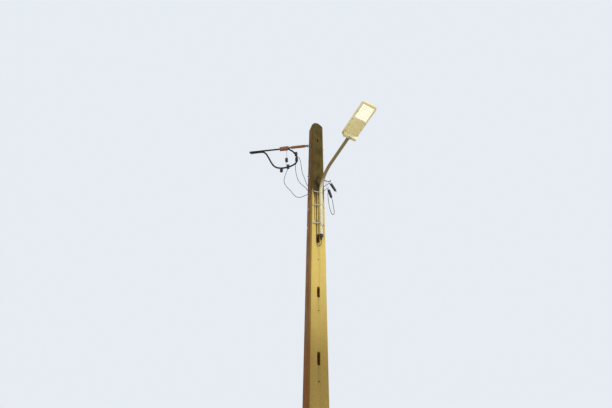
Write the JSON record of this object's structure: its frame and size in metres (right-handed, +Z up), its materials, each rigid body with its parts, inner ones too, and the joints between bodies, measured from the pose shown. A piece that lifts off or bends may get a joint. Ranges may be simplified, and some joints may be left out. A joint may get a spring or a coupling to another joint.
{
  "type": "concrete utility pole with street lamp",
  "caption": "Tapered rectangular concrete pole with climbing slots, a strapped curved lamp arm, a flat street lamp and anchored overhead cables.",
  "frame": {"origin": "centre of the foot's flat face at ground level", "axes": "+Z up along the pole, -Y out of the slotted front face that carries the lamp arm, +X to the right seen from the front"},
  "size_m": [1.7587, 2.3364, 8.75],
  "materials": {
    "concrete": "matte, cast",
    "arm_paint": "satin",
    "band_steel": "satin",
    "galvanised": "dull",
    "lamp_shell": "satin",
    "lamp_frame": "satin",
    "clear_glass": "clear",
    "board_white": "matte",
    "anchor_paint": "worn",
    "black_plastic": "matte",
    "grey_plastic": "matte",
    "brown_plastic": "matte",
    "cable_black": "matte"
  },
  "bodies": {
    "root": {"pole_shaft": "concrete", "lamp_arm": "arm_paint", "arm_boot": "black_plastic", "strap_lower": "band_steel", "strap_middle": "band_steel", "strap_upper": "band_steel", "strap_buckles": "band_steel", "lamp_housing": "lamp_shell", "socket_block": "lamp_shell", "gear_cover": "lamp_shell", "window_frame": "lamp_frame", "window_glass": "clear_glass", "light_board": "board_white", "cooling_fins": "lamp_shell", "socket_screws": "galvanised", "eye_bolt": "galvanised", "bolt_washers": "galvanised", "bolt_nuts": "galvanised", "turnbuckle_inner_eye": "galvanised", "turnbuckle_body": "anchor_paint", "turnbuckle_outer_eye": "galvanised", "clamp_bail": "galvanised", "clamp_body": "anchor_paint", "clamp_wedges": "grey_plastic", "bundle_run": "cable_black", "bundle_loop": "cable_black", "bundle_caps": "grey_plastic", "bundle_ties": "black_plastic", "tap_inner": "black_plastic", "tap_outer": "black_plastic", "tap_lead": "black_plastic", "tap_low": "black_plastic", "tap_earth": "brown_plastic", "earth_wire": "cable_black", "lamp_lead": "cable_black", "lamp_earth_lead": "cable_black", "drop_hook": "galvanised", "outer_clamp_body": "black_plastic", "outer_clamp_wedges": "grey_plastic", "outer_clamp_bail": "galvanised", "inner_clamp_body": "black_plastic", "inner_clamp_wedges": "grey_plastic", "inner_clamp_bail": "galvanised", "outer_service_lead": "cable_black", "inner_service_lead": "cable_black"}
  },
  "joints": []
}
